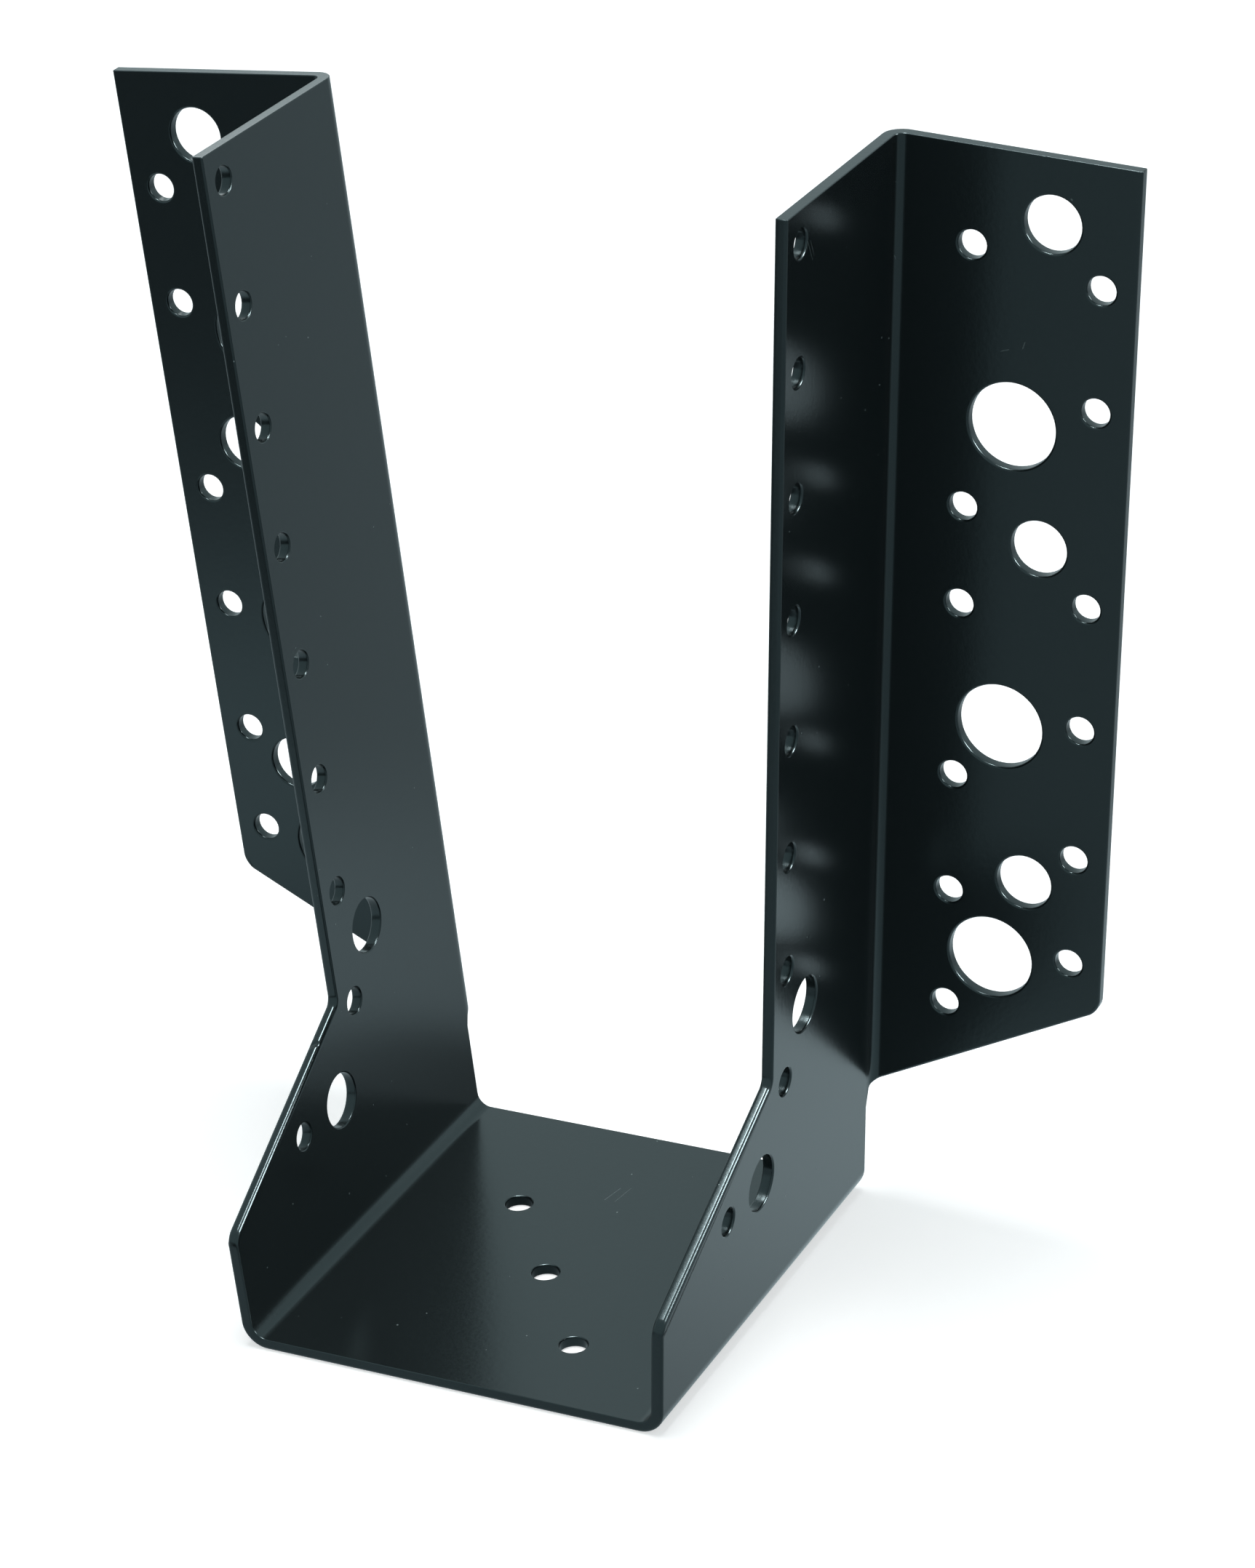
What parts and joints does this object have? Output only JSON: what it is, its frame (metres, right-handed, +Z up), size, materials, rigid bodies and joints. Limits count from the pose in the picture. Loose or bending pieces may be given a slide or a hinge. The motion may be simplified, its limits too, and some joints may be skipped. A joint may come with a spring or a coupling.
{
  "type": "joist hanger",
  "caption": "Face-fixed joist hanger folded from black-coated steel sheet: a flat seat, two leaning cheeks with slanted front edges, and outward flanges with nail and bolt holes.",
  "frame": {"origin": "on the resting surface, under the middle of the hanger's overall box", "axes": "+X across the joist to the hanger's right seen from the front, +Y from the front lip to the header, +Z up"},
  "size_m": [0.1802, 0.084, 0.1896],
  "materials": {
    "black_coat": "satin black powder coat with fine grain over 2 mm steel sheet"
  },
  "bodies": {
    "root": {"hanger": "black_coat"}
  },
  "joints": []
}
